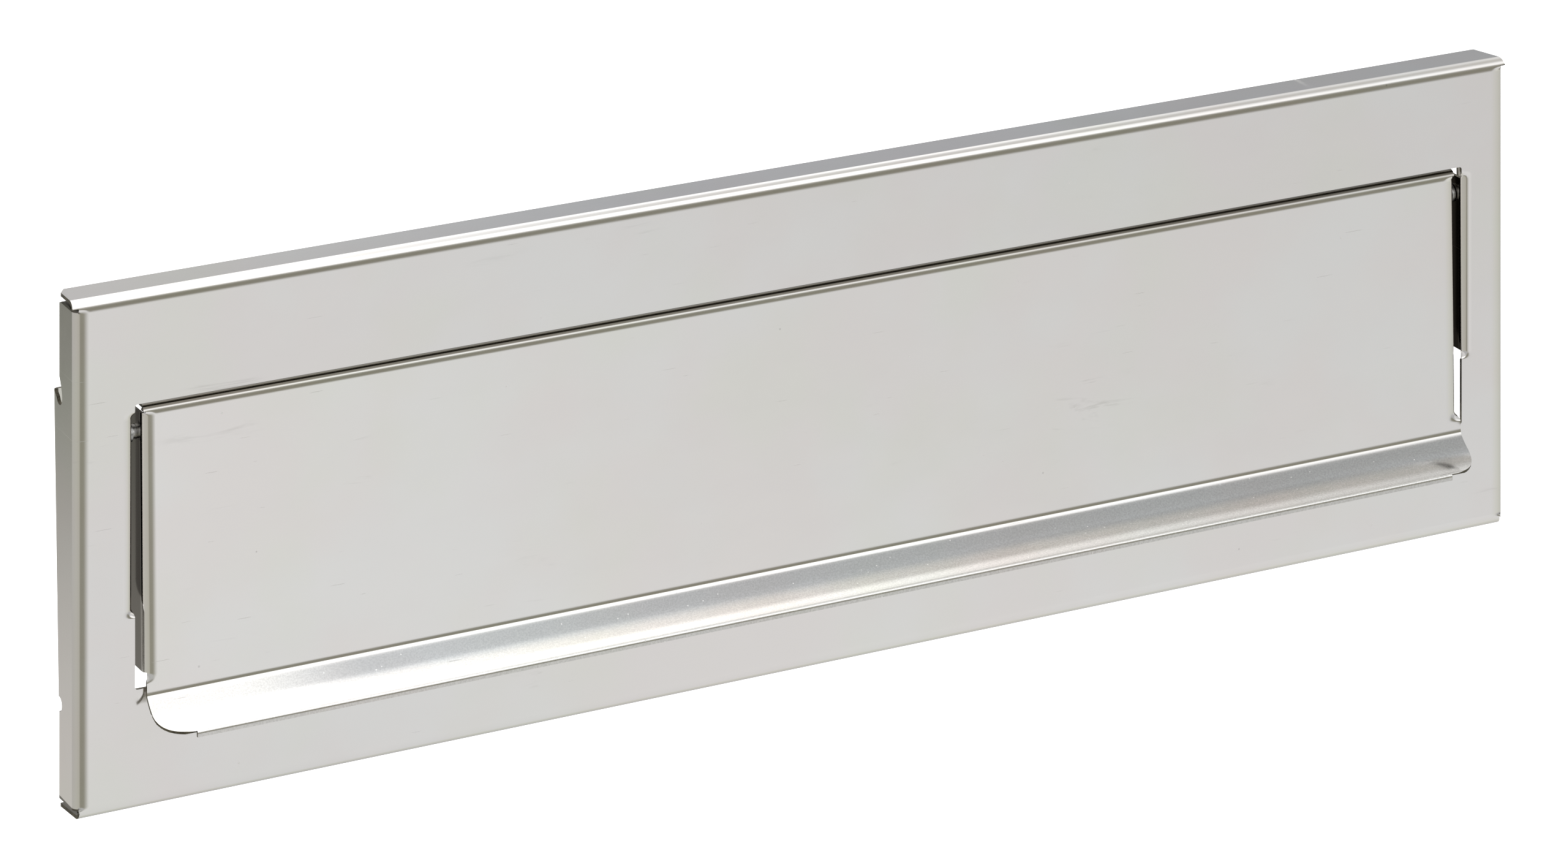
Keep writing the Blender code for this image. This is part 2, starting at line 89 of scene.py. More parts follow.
# Flap, drawn with its face parallel to the plate and the pivot at v = 0, then tilted outwards
FLAP_WIDTH = 330.8
FLAP_SHEET = 0.6
FLAP_TILT = math.radians(1.2)
FLAP_TOP = 6.8
FLAP_TOP_RADIUS = 1.3
FLAP_TOP_DEPTH = 6.0
FLAP_SIDE_RADIUS = 1.7
FLAP_SIDE_DEPTH = 8.8
FLAP_SIDE_BOTTOM = -49.8
FLAP_SIDE_CORNER = 2.5
FLAP_SIDE_RUNOUT = 2.2
FLAP_TOP_WIDTH = 330.4
FLAP_SLIT_U = 164.7
FLAP_SLIT_WIDTH = 0.5
FLAP_SLIT_BEVEL = 0.1
FLAP_CORNER_RUNOUT = 1.2
LIP_LEFT = 164.9
LIP_RIGHT = 166.2
LIP_CREASE = -53.5
LIP_CORNER = 7.5
LIP_CORNER_V = -58.5
HEM_WIDTH = 314.8
CREASE_ROLL = 0.9
CREASE_ROLL_TURN = math.radians(9)
CREASE_RADIUS = 1.7
CREASE_TURN = math.radians(31)
HOLLOW_RADIUS = 12.4
HOLLOW_TURN = math.radians(46)
HEM_FLAT = 0.232
HEM_RADIUS = 0.65
HEM_TURN = math.radians(72)
HEM_ROLL = 0.4
HEM_ROLL_TURN = math.radians(11.5)
HEM_DROP = 0.64

# Pivot hardware
PIN_RADIUS = 1.5
PIN_HEAD_RADIUS = 2.9
PIN_HEAD_HEIGHT = 1.3
PIN_HEAD_EDGE = 0.4
PIN_HEAD_DOME = math.radians(70)
PIN_HEAD_STEPS = 6
PIN_TAIL = 1.6
PIN_CHAMFER = 0.35
SPACER_RADIUS = 2.1
SPACER_SHEET = 0.8
SPACER_GAP = 0.2
WASHER_RADIUS = 3.5
WASHER_SHEET = 0.5
WASHER_HOLE_RADIUS = 1.56
WASHER_SLOT_RADIUS = 2.4
WASHER_TEETH = 6
WASHER_TOOTH_HALF = 0.3
WASHER_SLOT_START = 0.34
WASHER_DISH = 0.35

# Soft roll-off of a face before its bends: how far it turns, and over what length at each kind of bend
ROLL_TURN = math.radians(13)
ROLL_EDGE = 1.6
ROLL_SIDE = 2.4
ROLL_EAR = 1.4
ROLL_FLAP_SIDE = 2.0
ROLL_FLAP_TOP = 1.3

# How far fold lines reach past the sheet's edge, and how near a bend line still counts as on it
OVERSHOOT = 0.1
TOUCH = 0.01

# Longer than any flange
STRAIGHT = 30.0

# Parts of the blank that fold by the side flange's rules, and by the tab's
SIDE_ZONE = 3.0
TAB_ZONE = (TAB_BOTTOM - 0.8, TAB_TOP + 0.6)

# Masks of painted shade on the plate's steel, in millimetres, each as (0 up to here, 1 from here on): the
# ears, the ends of the flanges behind the face's corners, and the slits beside them
EAR_MASK_REACH = EAR_SPACING / 2 + 0.9
EAR_MASK_HEIGHT = 40.0
EAR_MASK_DEPTH = (0.8, 2.2)
CORNER_MASK_OUT = (174.0, 177.0)
CORNER_MASK_DEPTH = (0.1, 0.3)
SLIT_MASK_OUT = (178.9, 179.1)
SLIT_MASK_BOTTOM = (52.4, 52.6)
SLIT_MASK_TOP = (53.5, 53.35)

# The same on the flap's steel, about its pivot: painted shade on the top bend, side flanges and under the
# crease, and the lip's hollow with its steeper part, which takes a painted reflection band
TOP_MASK = (FLAP_TOP - 1.15, FLAP_TOP - 0.75)
FLANGE_MASK_OUT = (FLAP_WIDTH / 2 - 0.45, FLAP_WIDTH / 2 - 0.1)
FLANGE_MASK_ABOVE = (-51.5, -49.5)
FLANGE_MASK_DEPTH = (0.9 - PIVOT_Y, 2.4 - PIVOT_Y)
UNDER_MASK_BELOW = (-53.5, -54.5)
UNDER_MASK_SHARE = 0.75
HOLLOW_MASK_BELOW = (-54.6, -55.6)
STEEP_MASK_ABOVE = (-59.0, -57.7)
STEEP_MASK_FROM = (-148.0, -112.0)

# How squarely a surface has to face a direction to be masked, as the cosine where the mask starts and is full
FACING = (0.1, 0.4)

# Three sets of fine scratches: angle, length, spacing (in metres), share of the noise left out, and seed
SCRATCHES = (
    (0.31, 0.012, 0.00034, 0.765, 3.0),
    (-0.62, 0.009, 0.00030, 0.775, 11.0),
    (1.25, 0.007, 0.00030, 0.775, 23.0),
)

# How the steel's colour is multiplied where a mask is 1: painted shade, and a painted bluish reflection band
# in the lip's hollow
SHADED_TINT = (0.16, 0.15, 0.13, 1)
STEEP_TINT = (0.605, 0.63, 0.655, 1)

# Smoothness
SHARP_ANGLE = math.radians(40)
BEND_STEPS = 20
HOLLOW_STEPS = 40
CORNER_STEPS = 14
RUNOUT_STEPS = 10
SMALL_STEPS = 4
ROUND_STEPS = 72

# Lengths that follow
BEND_LENGTH = BEND_RADIUS * QUARTER
PANEL_U = PLATE_WIDTH / 2 - BEND_RADIUS
PANEL_V = PLATE_HEIGHT / 2 - BEND_RADIUS
RIM_LENGTH = BEND_LENGTH + RIM_DEPTH - BEND_RADIUS
TAB_FOLD_LENGTH = TAB_FOLD_RADIUS * QUARTER
RIM_U = PANEL_U + RIM_LENGTH
RIM_V = PANEL_V + RIM_LENGTH
EAR_START = EAR_SPACING / 2 + BEND_RADIUS
EAR_LENGTH = BEND_LENGTH + EAR_DEPTH - BEND_RADIUS
OPENING_END = EAR_START - 0.75 * BEND_LENGTH
FLAP_PANEL_U = FLAP_WIDTH / 2 - FLAP_SIDE_RADIUS
FLAP_PANEL_V = FLAP_TOP - FLAP_TOP_RADIUS
FLAP_BEND_LENGTH = FLAP_SIDE_RADIUS * QUARTER
FLAP_SIDE_U = FLAP_PANEL_U + FLAP_BEND_LENGTH + FLAP_SIDE_DEPTH - FLAP_SIDE_RADIUS
FLAP_TOP_BEND = FLAP_TOP_RADIUS * QUARTER
FLAP_TOP_V = FLAP_PANEL_V + FLAP_TOP_BEND + FLAP_TOP_DEPTH - FLAP_TOP_RADIUS
FLAP_SIDE_TOP = FLAP_PANEL_V - FLAP_SLIT_WIDTH
LIP_PATH = (
    (CREASE_ROLL, -CREASE_ROLL_TURN),
    (CREASE_RADIUS * CREASE_TURN, -CREASE_TURN),
    (HOLLOW_RADIUS * HOLLOW_TURN, -HOLLOW_TURN),
    (HEM_FLAT, 0.0),
    (HEM_RADIUS * HEM_TURN, HEM_TURN),
    (HEM_ROLL, HEM_ROLL_TURN),
    (HEM_DROP, 0.0),
)
LIP_STEPS = (BEND_STEPS // 2, BEND_STEPS // 2, HOLLOW_STEPS, 1, BEND_STEPS, BEND_STEPS // 4, 1)
LIP_LENGTH = sum(length for length, turn in LIP_PATH)


# Points on flat shapes


def arc(centre, radius, start, end, steps):
    """Points along an arc, both ends included, with its angles in degrees."""
    points = []
    for step in range(steps + 1):
        angle = math.radians(start + (end - start) * step / steps)
        points.append((centre[0] + radius * math.cos(angle), centre[1] + radius * math.sin(angle)))
    return points


def circle(centre, radius, steps=ROUND_STEPS):
    return arc(centre, radius, 0, 360, steps)[:-1]


def mirrored(points):
    """The same points on the other side of u = 0, in reverse order, so that an outline runs on."""
    return [(-u, v) for u, v in reversed(points)]


def shifted(points, distance):
    return [(u + distance, v) for u, v in points]


def is_inside(point, loops):
    """Whether a point lies in the sheet that the loops bound, where inner loops are holes."""
    crossings = 0
    for loop in loops:
        for (u1, v1), (u2, v2) in zip(loop, loop[1:] + loop[:1]):
            if (v1 > point[1]) != (v2 > point[1]):
                if point[0] < u1 + (u2 - u1) * (point[1] - v1) / (v2 - v1):
                    crossings += 1
    return crossings % 2 == 1


# Folding


def walk(path, distance):
    """Where a sheet has got to after a distance along a path of (length, turn).

    Returns how far it went in its first direction, and how far it turned off backward, into the door.
    A negative turn folds the sheet forward.
    """
    along = backward = heading = 0.0
    for length, turn in path:
        step = min(distance, length)
        if turn:
            radius = length / turn
            end = heading + step / radius
            along += radius * (math.sin(end) - math.sin(heading))
            backward += radius * (math.cos(heading) - math.cos(end))
            heading = end
        else:
            along += step * math.cos(heading)
            backward += step * math.sin(heading)
        distance -= step
        if distance <= 0:
            break
    return along, backward


def spaced(start, length, steps):
    """Evenly spaced distances, such as those of the fold lines that make one bend round."""
    return [start + length * step / steps for step in range(steps + 1)]


def roll_off(length, steps):
    """Distances before a bend line of the fold lines that make its roll-off round."""
    return spaced(-length, length, steps)[:-1]


def fold_share(beyond, runout):
    """How much of a fold is left a distance beyond its end, where it runs out into flat sheet."""
    part = min(max(beyond / runout, 0.0), 1.0)
    return 0.5 + 0.5 * math.cos(math.pi * part)


def sheet_mesh(name, loops, lines, fold):
    """The front surface of a sheet cut to its loops, creased along its lines, and folded."""
    points = []
    edges = []
    for loop in loops:
        first = len(points)
        points += loop
        edges += [(first + i, first + (i + 1) % len(loop)) for i in range(len(loop))]
    for line in lines:
        edges.append((len(points), len(points) + 1))
        points += line
    cut = delaunay_2d_cdt([Vector(point) for point in points], edges, [], 0, 1e-5)
    flat, faces = cut[0], cut[2]
    mesh = bmesh.new()
    vertices = [mesh.verts.new(Vector(fold(u, v)) * MM) for u, v in flat]
    for face in faces:
        centre = sum((flat[i] for i in face), Vector((0, 0))) / len(face)
        if is_inside(centre, loops):
            mesh.faces.new([vertices[i] for i in face])
    for vertex in [vertex for vertex in mesh.verts if not vertex.link_faces]:
        mesh.verts.remove(vertex)
    data = bpy.data.meshes.new(name)
    mesh.to_mesh(data)
    mesh.free()
    return data


def add_object(name, data, finish):
    data.shade_smooth()
    data.set_sharp_from_angle(angle=SHARP_ANGLE)
    data.materials.append(finish)
    item = bpy.data.objects.new(name, data)
    bpy.context.collection.objects.link(item)
    return item


def thicken(item, thickness):
    """Gives a folded surface its thickness, on its back side."""
    solidify = item.modifiers.new("sheet_thickness", "SOLIDIFY")
    solidify.thickness = thickness * MM
    solidify.offset = -1
    solidify.use_even_offset = True
    solidify.use_quality_normals = True


# Faceplate


def tab_depth(v):
    """How far behind the front face the tab's outer face lies, at a height."""
    return TAB_DEPTH_BOTTOM + (TAB_DEPTH_TOP - TAB_DEPTH_BOTTOM) * (v - TAB_BOTTOM) / (TAB_TOP - TAB_BOTTOM)


def rim_u(depth):
    """Where a depth behind the front face lies on a side flange in the blank."""
    return PANEL_U + BEND_LENGTH + depth - BEND_RADIUS


def tab_fold_u(v):
    return rim_u(tab_depth(v) - TAB_FOLD_RADIUS)


def tab_end_u(v):
    return tab_fold_u(v) + TAB_FOLD_LENGTH + TAB_WIDTH - TAB_FOLD_RADIUS


def side_rim():
    """The right side flange's rear edge with its notches and tab, from the bottom up."""
    points = arc((RIM_U, LOWER_NOTCH_V), LOWER_NOTCH_RADIUS, 270, 90, 2 * CORNER_STEPS)
    points.append((tab_end_u(TAB_BOTTOM) - TAB_CORNER, TAB_BOTTOM))
    points.append((tab_end_u(TAB_BOTTOM + TAB_CORNER), TAB_BOTTOM + TAB_CORNER))
    points.append((tab_end_u(TAB_TOP - TAB_CORNER), TAB_TOP - TAB_CORNER))
    points.append((tab_end_u(TAB_TOP) - TAB_CORNER, TAB_TOP))
    points.append((RIM_U + 2 * UPPER_NOTCH_RADIUS, TAB_TOP))
    points += arc((RIM_U, UPPER_NOTCH_V), UPPER_NOTCH_RADIUS, 340, 180, 2 * CORNER_STEPS)
    for step in range(1, CORNER_STEPS + 1):
        part = step / CORNER_STEPS
        height = UPPER_NOTCH_V + (UPPER_NOTCH_END - UPPER_NOTCH_V) * part
        points.append((RIM_U - UPPER_NOTCH_RADIUS * math.cos(part * QUARTER), height))
    return points


def corner_slit(rim_edge):
    """The end of the right side flange and the slit beside it, from the flange's rear edge inwards."""
    points = [(rim_u(depth), height) for depth, height in rim_edge]
    return points + arc((SLIT_ROOT_U, PANEL_V - SLIT_WIDTH / 2), SLIT_WIDTH / 2, -90, -270, CORNER_STEPS)


def plate_half(top_corner):
    """Half of the plate's outline, at the right, from the bottom flange's edge to the top flange's."""
    bottom = BOTTOM_RIM_WIDTH / 2
    points = [(bottom + BOTTOM_RIM_FLARE, -RIM_V), (bottom, -PANEL_V)]
    points += [(u, -v) for u, v in reversed(corner_slit(SIDE_BOTTOM_EDGE))]
    points += side_rim()
    points += corner_slit(SIDE_TOP_EDGE)
    return points + [(TOP_RIM_WIDTH / 2, PANEL_V)] + top_corner


def plate_outline():
    half_width = TOP_RIM_WIDTH / 2
    across, along = TOP_RIM_CHAMFER
    right = plate_half([(half_width - TOP_RIM_TAPER, RIM_V)])
    left = plate_half([(half_width, RIM_V - along), (half_width - across, RIM_V)])
    return right + mirrored(left)


def opening_half():
    """The right end of the letter opening about u = 0, from the bottom up, with its ear laid flat."""
    root = OPENING_END
    tip = EAR_START - EAR_LENGTH
    inset = tip + EAR_CORNER
    corner = root - OPENING_CORNER
    points = arc((corner, OPENING_BOTTOM + OPENING_CORNER), OPENING_CORNER, -90, 0, SMALL_STEPS)
    points.append((root, EAR_BOTTOM))
    points += arc((inset, EAR_BOTTOM + EAR_CORNER), EAR_CORNER, 270, 180, CORNER_STEPS)
    points += arc((inset, EAR_TOP - EAR_CORNER), EAR_CORNER, 180, 90, CORNER_STEPS)
    points.append((root, EAR_TOP))
    return points + arc((corner, OPENING_TOP - OPENING_CORNER), OPENING_CORNER, 0, 90, SMALL_STEPS)


def pivot_hole_in_ear():
    """The right ear's pivot hole about u = 0, in the flat blank."""
    return circle((EAR_START - BEND_LENGTH - (PIVOT_Y - BEND_RADIUS), PIVOT_Z), HOLE_RADIUS)


def plate_loops():
    opening = opening_half()
    hole = pivot_hole_in_ear()
    loops = [plate_outline(), shifted(opening + mirrored(opening), OPENING_X)]
    return loops + [shifted(hole, OPENING_X), shifted(mirrored(hole), OPENING_X)]


def plate_lines():
    """The plate's fold lines: rims, tabs and ears, and the ends of the ears' and side rims' folds."""
    lines = []
    reach = TOP_RIM_WIDTH / 2 + 5 * OVERSHOOT
    height = PANEL_V - 2 * TOUCH
    for distance in spaced(0, BEND_LENGTH, BEND_STEPS):
        for side in (-1, 1):
            lines.append([(-reach, side * (PANEL_V + distance)), (reach, side * (PANEL_V + distance))])
            lines.append([(side * (PANEL_U + distance), -height), (side * (PANEL_U + distance), height)])
            ear = OPENING_X + side * (EAR_START - distance)
            lines.append([(ear, EAR_BOTTOM - EAR_RUNOUT), (ear, EAR_TOP + EAR_RUNOUT)])
    for distance in roll_off(ROLL_EDGE, 2 * RUNOUT_STEPS):
        v = PANEL_V + distance
        for side in (-1, 1):
            lines.append([(-reach, side * v), (reach, side * v)])
    for distance in roll_off(ROLL_SIDE, 2 * RUNOUT_STEPS):
        for side in (-1, 1):
            u = side * (PANEL_U + distance)
            lines.append([(u, -height), (u, height)])
    for distance in roll_off(ROLL_EAR, RUNOUT_STEPS):
        for side in (-1, 1):
            ear = OPENING_X + side * (EAR_START - distance)
            lines.append([(ear, EAR_BOTTOM - EAR_RUNOUT), (ear, EAR_TOP + EAR_RUNOUT)])
    for distance in spaced(0, TAB_FOLD_LENGTH, BEND_STEPS):
        for side in (-1, 1):
            ends = (TAB_BOTTOM - 2 * OVERSHOOT, TAB_TOP + 2 * OVERSHOOT)
            lines.append([(side * (tab_fold_u(v) + distance), v) for v in ends])
    for distance in spaced(0, EAR_RUNOUT, RUNOUT_STEPS):
        for v in (EAR_BOTTOM - distance, EAR_TOP + distance):
            for side in (-1, 1):
                ends = (EAR_START + ROLL_EAR, OPENING_END - OVERSHOOT)
                lines.append([(OPENING_X + side * end, v) for end in ends])
    for distance in spaced(0, SLIT_RUNOUT, RUNOUT_STEPS)[1:]:
        for side in (-1, 1):
            for v in (PANEL_V - distance, distance - PANEL_V):
                lines.append([(side * PANEL_U, v), (side * SLIT_ROOT_U, v)])
    return lines


def rolled(beyond, radius, roll, rest, share=1.0):
    """Where a folded edge lies, a blank distance beyond its bend line, and how far back.

    The face rolls off gently over the last stretch, roll, before the bend proper. rest is the path after it.
    A share below 1 is where the fold runs out into flat sheet.
    """
    along_roll = roll * math.cos(ROLL_TURN / 2) + radius * (1 - math.sin(ROLL_TURN))
    back_roll = roll * math.sin(ROLL_TURN / 2) + radius * math.cos(ROLL_TURN)
    bend = radius * (QUARTER - ROLL_TURN)
    reach = along_roll - radius
    flat_length = reach + radius * QUARTER + back_roll - radius
    distance = beyond + reach
    if distance <= 0:
        return beyond, 0.0
    stretch = 1 + ((roll + bend) / flat_length - 1) * share
    if distance < flat_length:
        distance *= stretch
    else:
        distance += flat_length * (stretch - 1)
    path = [(roll, ROLL_TURN * share), (bend, (QUARTER - ROLL_TURN) * share)] + rest(back_roll)
    along, backward = walk(path, distance)
    return along - reach, backward


def straight_rim(depth):
    """The path of a rim after its bend where it runs straight on, whatever depth the bend ends at."""
    return [(STRAIGHT, 0.0)]


def tab_rim(v):
    """The same for a side flange at a height where it folds inwards into its tab."""

    def rest(depth):
        flat = tab_depth(v) - depth - TAB_FOLD_RADIUS
        return [(flat, 0.0), (TAB_FOLD_LENGTH, QUARTER), (TAB_WIDTH, 0.0)]

    return rest


def fold_plate(u, v):
    """Where a point of the plate's blank ends up, in the plate's frame."""
    beyond_v = abs(v) - PANEL_V
    along, backward = rolled(beyond_v, BEND_RADIUS, ROLL_EDGE, straight_rim)
    height = math.copysign(PANEL_V + along, v)
    if abs(v) > PANEL_V - TOUCH:
        return u, backward, height
    share = 1.0
    if abs(u) < SLIT_ROOT_U:
        share = fold_share(beyond_v + SLIT_RUNOUT, SLIT_RUNOUT)
    if abs(u) > PANEL_U - SIDE_ZONE:
        rest = tab_rim(v) if TAB_ZONE[0] < v < TAB_ZONE[1] else straight_rim
        along, back = rolled(abs(u) - PANEL_U, BEND_RADIUS, ROLL_SIDE, rest, share)
        return math.copysign(PANEL_U + along, u), backward + back, height
    inward = EAR_START - abs(u - OPENING_X)
    share = fold_share(max(EAR_BOTTOM - v, v - EAR_TOP), EAR_RUNOUT)
    along, back = rolled(inward, BEND_RADIUS, ROLL_EAR, straight_rim, share)
    return OPENING_X + math.copysign(EAR_START - along, u - OPENING_X), backward + back, height


# Flap


def flap_half(lip_u):
    """Half of the flap's outline, at the right, from the lip's free edge to the top return's."""
    lip_end = LIP_CREASE - LIP_LENGTH
    points = [(HEM_WIDTH / 2, lip_end), (HEM_WIDTH / 2, LIP_CORNER_V - LIP_CORNER)]
    points += arc((lip_u - LIP_CORNER, LIP_CORNER_V), LIP_CORNER, -90, 0, 2 * CORNER_STEPS)
    points.append((lip_u, FLAP_SIDE_BOTTOM))
    corner = (FLAP_SIDE_U - FLAP_SIDE_CORNER, FLAP_SIDE_BOTTOM + FLAP_SIDE_CORNER)
    points += arc(corner, FLAP_SIDE_CORNER, -90, 0, CORNER_STEPS)
    corner = (FLAP_SIDE_U - FLAP_SIDE_CORNER, FLAP_SIDE_TOP - FLAP_SIDE_CORNER)
    points += arc(corner, FLAP_SIDE_CORNER, 0, 90, CORNER_STEPS)
    half_top = FLAP_TOP_WIDTH / 2
    bevel = FLAP_SLIT_BEVEL
    points += [(half_top + 2 * bevel, FLAP_SIDE_TOP), (FLAP_SLIT_U, FLAP_SIDE_TOP + bevel)]
    points += [(FLAP_SLIT_U, FLAP_PANEL_V - bevel), (half_top, FLAP_PANEL_V), (half_top, FLAP_TOP_V)]
    return points


def flap_loops():
    flange_depth = PIVOT_Y - FLAP_SIDE_RADIUS
    hole = circle((FLAP_PANEL_U + FLAP_BEND_LENGTH + flange_depth, 0.0), HOLE_RADIUS)
    return [flap_half(LIP_RIGHT) + mirrored(flap_half(LIP_LEFT)), hole, mirrored(hole)]


def flap_lines():
    """The flap's fold lines: top return, two side flanges, and the lip with its crease, hollow and hem."""
    lines = []
    reach = FLAP_TOP_WIDTH / 2 + OVERSHOOT
    for distance in roll_off(ROLL_FLAP_TOP, RUNOUT_STEPS) + spaced(0, FLAP_TOP_BEND, BEND_STEPS):
        v = FLAP_PANEL_V + distance
        lines.append([(-reach, v), (reach, v)])
    for distance in roll_off(ROLL_FLAP_SIDE, RUNOUT_STEPS) + spaced(0, FLAP_BEND_LENGTH, BEND_STEPS):
        for side in (-1, 1):
            u = side * (FLAP_PANEL_U + distance)
            lines.append([(u, FLAP_SIDE_BOTTOM - FLAP_SIDE_RUNOUT), (u, FLAP_PANEL_V - 2 * TOUCH)])
    inner = FLAP_PANEL_U - ROLL_FLAP_SIDE
    for distance in spaced(0, FLAP_SIDE_RUNOUT, RUNOUT_STEPS):
        for side in (-1, 1):
            v = FLAP_SIDE_BOTTOM - distance
            lines.append([(side * inner, v), (side * (LIP_RIGHT + OVERSHOOT), v)])
    for distance in spaced(0, FLAP_CORNER_RUNOUT, RUNOUT_STEPS)[1:]:
        for side in (-1, 1):
            v = FLAP_PANEL_V - distance
            lines.append([(side * inner, v), (side * (FLAP_SLIT_U + OVERSHOOT), v)])
    start = 0.0
    for (length, _), steps in zip(LIP_PATH, LIP_STEPS):
        for distance in spaced(start, length, steps)[:-1]:
            v = LIP_CREASE - distance
            lines.append([(-LIP_LEFT - 10 * OVERSHOOT, v), (LIP_RIGHT + 10 * OVERSHOOT, v)])
        start += length
    return lines


def fold_flap(u, v):
    """Where a point of the flap's blank ends up, about the pivot line and before the flap is tilted."""
    front = -PIVOT_Y
    if v < LIP_CREASE:
        along, backward = walk(LIP_PATH, LIP_CREASE - v)
        return u, front + backward, LIP_CREASE - along
    along, backward = rolled(v - FLAP_PANEL_V, FLAP_TOP_RADIUS, ROLL_FLAP_TOP, straight_rim)
    height = FLAP_PANEL_V + along
    if v > FLAP_PANEL_V - TOUCH:
        return u, front + backward, height
    share = fold_share(FLAP_SIDE_BOTTOM - v, FLAP_SIDE_RUNOUT)
    if abs(u) <= FLAP_SLIT_U and v > 0:
        share = fold_share(v - (FLAP_PANEL_V - FLAP_CORNER_RUNOUT), FLAP_CORNER_RUNOUT)
    along, back = rolled(abs(u) - FLAP_PANEL_U, FLAP_SIDE_RADIUS, ROLL_FLAP_SIDE, straight_rim, share)
    return math.copysign(FLAP_PANEL_U + along, u), front + backward + back, height


# Pivot hardware, drawn at the right end with x measured from the middle of the opening


def turned_mesh(name, profile, closed, side):
    """A round piece about the pivot line from a profile of (x, radius). side -1 puts it at the left."""
    mesh = bmesh.new()
    rings = []
    for x, radius in profile:
        if radius == 0:
            rings.append([mesh.verts.new((side * x * MM, 0, 0))])
            continue
        ring = circle((0, 0), radius * MM)
        rings.append([mesh.verts.new((side * x * MM, y, z)) for y, z in ring])
    pairs = list(zip(rings, rings[1:]))
    if closed:
        pairs.append((rings[-1], rings[0]))
    for first, second in pairs:
        for i in range(ROUND_STEPS):
            j = (i + 1) % ROUND_STEPS
            if len(first) == 1:
                mesh.faces.new((first[0], second[i], second[j]))
            elif len(second) == 1:
                mesh.faces.new((first[i], second[0], first[j]))
            else:
                mesh.faces.new((first[i], second[i], second[j], first[j]))
    bmesh.ops.recalc_face_normals(mesh, faces=mesh.faces)
    data = bpy.data.meshes.new(name)
    mesh.to_mesh(data)
    mesh.free()
    return data


def on_pivot(item):
    item.location = Vector((OPENING_X, PIVOT_Y, PIVOT_Z)) * MM
    return item


def make_pin(name, side, finish):
    """A rivet-like pin: a domed head outside the ear, a shank through ear and flap, a chamfered tail."""
    seat = EAR_SPACING / 2 + PLATE_SHEET + CLEARANCE
    crown = seat + PIN_HEAD_HEIGHT
    tail = FLAP_WIDTH / 2 - FLAP_SHEET - CLEARANCE - WASHER_SHEET - PIN_TAIL
    profile = [(crown, 0)]
    for step in range(1, PIN_HEAD_STEPS + 1):
        angle = step / PIN_HEAD_STEPS * PIN_HEAD_DOME
        fall = (PIN_HEAD_HEIGHT - PIN_HEAD_EDGE) * (1 - math.cos(angle)) / (1 - math.cos(PIN_HEAD_DOME))
        profile.append((crown - fall, PIN_HEAD_RADIUS * math.sin(angle) / math.sin(PIN_HEAD_DOME)))
    profile += [(seat, PIN_HEAD_RADIUS), (seat, PIN_RADIUS)]
    profile += [(tail + PIN_CHAMFER, PIN_RADIUS), (tail, PIN_RADIUS - PIN_CHAMFER), (tail, 0)]
    return on_pivot(add_object(name, turned_mesh(name, profile, False, side), finish))


def make_spacer(name, side, finish):
    """The ring against the ear that keeps the flap's flange clear of it."""
    outer = EAR_SPACING / 2 - SPACER_GAP
    inner = outer - SPACER_SHEET
    profile = [(inner, HOLE_RADIUS), (inner, SPACER_RADIUS), (outer, SPACER_RADIUS), (outer, HOLE_RADIUS)]
    return on_pivot(add_object(name, turned_mesh(name, profile, True, side), finish))


def washer_bore():
    """Teeth that reach in to the pin, with slots between them."""
    points = []
    pitch = 360 / WASHER_TEETH
    for tooth in range(WASHER_TEETH):
        middle = tooth * pitch
        tooth_half = WASHER_TOOTH_HALF * pitch
        slot = (middle + WASHER_SLOT_START * pitch, middle + (1 - WASHER_SLOT_START) * pitch)
        points += arc((0, 0), WASHER_HOLE_RADIUS, middle - tooth_half, middle + tooth_half, SMALL_STEPS)
        points += arc((0, 0), WASHER_SLOT_RADIUS, *slot, SMALL_STEPS - 1)
    return points


def make_washer(name, side, finish):
    """The push-on washer that keeps the pin in, dished away from the flange."""
    face = FLAP_WIDTH / 2 - FLAP_SHEET - CLEARANCE

    def dish(u, v):
        part = (WASHER_RADIUS - math.hypot(u, v)) / (WASHER_RADIUS - WASHER_HOLE_RADIUS)
        return side * (face - WASHER_DISH * part), side * u, v

    loops = [circle((0, 0), WASHER_RADIUS), washer_bore()]
    item = add_object(name, sheet_mesh(name, loops, [], dish), finish)
    thicken(item, WASHER_SHEET)
    return on_pivot(item)


# Materials


